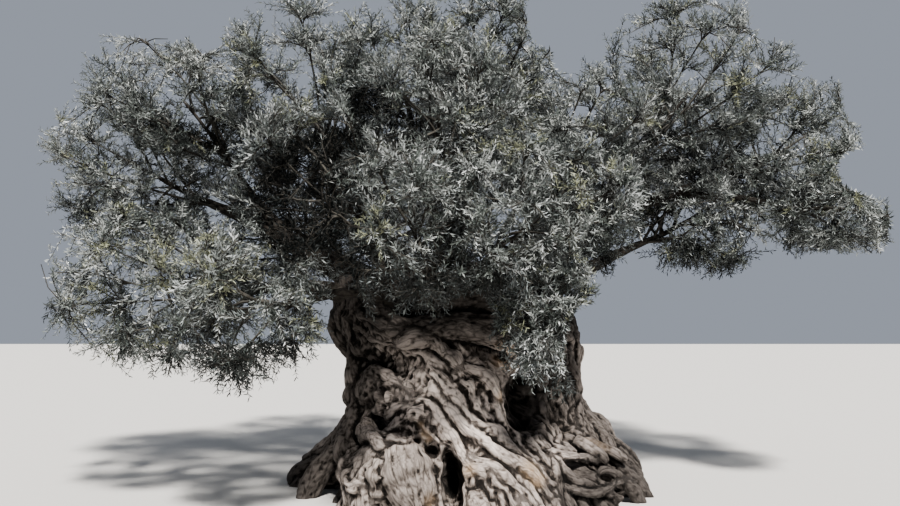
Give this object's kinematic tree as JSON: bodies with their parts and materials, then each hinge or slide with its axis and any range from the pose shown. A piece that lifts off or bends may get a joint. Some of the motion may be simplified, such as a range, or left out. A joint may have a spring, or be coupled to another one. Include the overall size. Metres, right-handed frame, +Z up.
{
  "type": "olive tree",
  "caption": "Very old olive tree with a massive twisted, fluted trunk on a wide root flare, spreading boughs and a broad grey-green crown; stands on flat ground.",
  "frame": {"origin": "on the flat cut under the trunk, at ground level, below the trunk's middle", "axes": "+Z up, +X to the right and -Y towards the viewer of the picture, so the trunk's robed front faces -Y and the crown is widest along X"},
  "size_m": [11.0552, 7.4968, 6.6486],
  "materials": {
    "trunk_bark": "rough weathered bark, warm grey with near-black crevices",
    "bough_bark": "rough dark grey-brown bark",
    "foliage": "leathery leaves, grey-green above and silvery below"
  },
  "bodies": {
    "root": {"bough_back": "bough_bark", "bough_back_left": "bough_bark", "bough_back_right": "bough_bark", "bough_back_top": "bough_bark", "bough_far_left": "bough_bark", "bough_front": "bough_bark", "bough_front_left": "bough_bark", "bough_front_right": "bough_bark", "bough_front_side": "bough_bark", "bough_front_top": "bough_bark", "bough_hanging": "bough_bark", "bough_inner_left": "bough_bark", "bough_left_front": "bough_bark", "bough_left_low": "bough_bark", "bough_mid_right": "bough_bark", "bough_right": "bough_bark", "bough_right_back": "bough_bark", "bough_right_low": "bough_bark", "bough_right_under": "bough_bark", "bough_top": "bough_bark", "bough_top_centre": "bough_bark", "bough_top_left": "bough_bark", "bough_upper_left": "bough_bark", "bough_upper_right": "bough_bark", "foliage_back": "foliage", "foliage_back_left": "foliage", "foliage_back_right": "foliage", "foliage_back_top": "foliage", "foliage_far_left": "foliage", "foliage_front": "foliage", "foliage_front_left": "foliage", "foliage_front_right": "foliage", "foliage_front_side": "foliage", "foliage_front_top": "foliage", "foliage_hanging": "foliage", "foliage_inner_left": "foliage", "foliage_left_front": "foliage", "foliage_left_low": "foliage", "foliage_mid_right": "foliage", "foliage_right": "foliage", "foliage_right_back": "foliage", "foliage_right_low": "foliage", "foliage_right_under": "foliage", "foliage_top": "foliage", "foliage_top_centre": "foliage", "foliage_top_left": "foliage", "foliage_upper_left": "foliage", "foliage_upper_right": "foliage", "trunk": "trunk_bark"}
  },
  "joints": []
}
